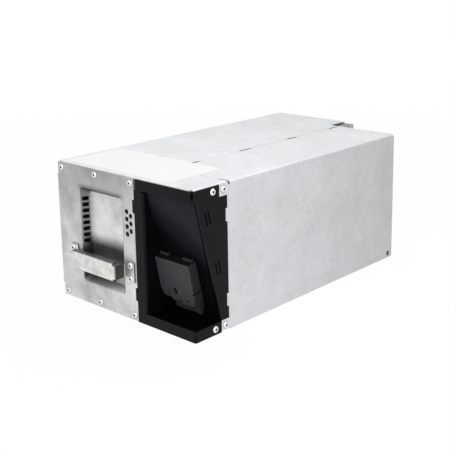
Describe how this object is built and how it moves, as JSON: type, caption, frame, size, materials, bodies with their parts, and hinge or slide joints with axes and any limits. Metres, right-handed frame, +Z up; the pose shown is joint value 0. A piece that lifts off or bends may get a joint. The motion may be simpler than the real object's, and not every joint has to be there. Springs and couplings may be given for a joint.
{
  "type": "ups battery cartridge",
  "caption": "Galvanised sheet-metal battery cartridge with a pull handle over a drawn dish, and a black connector bay with a sloping panel at the front corner.",
  "frame": {"origin": "middle of the whole part's box, at the level of the lower flanges' undersides", "axes": "+Z up, +Y along the cartridge from the handle end to the rear, +X to the side with the connector bay"},
  "size_m": [0.166, 0.3114, 0.122],
  "materials": {
    "galvanised_sheet": "hot-dip galvanised sheet with fine spangle, satin",
    "handle_steel": "plated folded sheet, satin",
    "black_coat": "black powder coat, semi-matt with fine texture",
    "connector_plastic": "moulded, matt",
    "contact_metal": "tin-plated",
    "bright_rivet": "plain",
    "block_case": "moulded ABS",
    "lead_alloy": "tin-plated",
    "zinc_screw": "zinc plated",
    "strap_copper": "tin-plated strip",
    "foam": "closed-cell foam",
    "grommet_rubber": "matt",
    "holder_plastic": "moulded",
    "fuse_body": "glazed tube",
    "black_insulation": "flexible insulation",
    "red_insulation": "flexible insulation"
  },
  "bodies": {
    "root": {"main_cover": "galvanised_sheet", "base_tray": "galvanised_sheet", "right_cover": "galvanised_sheet", "divider": "galvanised_sheet", "front_plate": "galvanised_sheet", "handle": "handle_steel", "bay_frame": "black_coat", "connector_panel": "black_coat", "connector_housing": "connector_plastic", "connector_contacts": "contact_metal", "front_rivets": "bright_rivet", "handle_rivets": "bright_rivet", "side_rivets": "bright_rivet", "battery_left_1": "block_case", "battery_left_2": "block_case", "battery_left_3": "block_case", "battery_left_4": "block_case", "battery_right_1": "block_case", "battery_right_2": "block_case", "terminal_posts": "lead_alloy", "terminal_screws": "zinc_screw", "series_straps": "strap_copper", "foam_strips": "foam", "front_foam": "foam", "lead_grommets": "grommet_rubber", "fuse_holder": "holder_plastic", "fuse_clips": "contact_metal", "fuse": "fuse_body", "lead_negative": "black_insulation", "lead_positive": "red_insulation", "lead_fused": "red_insulation", "lead_lugs": "contact_metal"}
  },
  "joints": []
}
